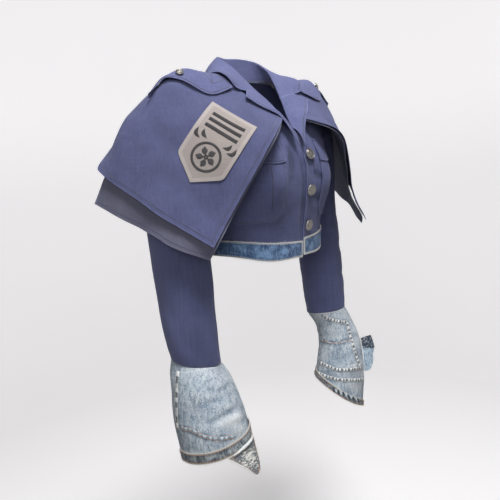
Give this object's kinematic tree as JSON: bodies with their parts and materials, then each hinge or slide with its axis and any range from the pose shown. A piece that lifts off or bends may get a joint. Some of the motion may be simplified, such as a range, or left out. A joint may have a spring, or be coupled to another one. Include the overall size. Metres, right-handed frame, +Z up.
{
  "type": "cape jacket",
  "caption": "Hollow cropped navy twill jacket with open lapel collar, two-layer cape panels over the shoulders, breast pockets, and recycled denim waistband and flared cuffs.",
  "frame": {"origin": "midway between the two points where the shoulder seams meet the neck", "axes": "+X to the wearer's left, +Y towards the back, +Z up"},
  "size_m": [0.7186, 0.2908, 0.8995],
  "materials": {
    "navy_twill": "washed navy cotton twill with a soft dusty bloom",
    "slate_cloth": "thin grey-navy plain weave",
    "light_denim": "pale washed denim",
    "dark_denim": "dark washed denim with frayed edges",
    "band_denim": "mid-blue denim with frayed edges",
    "patch_cloth": "khaki-grey felt with a sewn border",
    "button_metal": "aged silver"
  },
  "bodies": {
    "root": {"back": "navy_twill", "button_front_1": "button_metal", "button_front_2": "button_metal", "button_front_3": "button_metal", "button_shoulder_left": "button_metal", "button_shoulder_right": "button_metal", "cape_lower_left": "slate_cloth", "cape_lower_right": "slate_cloth", "cape_upper_left": "navy_twill", "cape_upper_right": "navy_twill", "collar": "navy_twill", "cuff_gusset_right": "dark_denim", "cuff_left": "light_denim", "cuff_right": "light_denim", "cuff_strip_left": "dark_denim", "cuff_strip_right": "dark_denim", "cuff_tab_left": "dark_denim", "epaulette_left": "navy_twill", "epaulette_right": "navy_twill", "front_left": "navy_twill", "front_right": "navy_twill", "lapel_left": "navy_twill", "lapel_right": "navy_twill", "pocket_flap_left": "navy_twill", "pocket_flap_right": "navy_twill", "pocket_left": "navy_twill", "pocket_right": "navy_twill", "shoulder_patch": "patch_cloth", "sleeve_left": "navy_twill", "sleeve_right": "navy_twill", "waistband_back": "band_denim", "waistband_left": "band_denim", "waistband_right": "band_denim"}
  },
  "joints": []
}
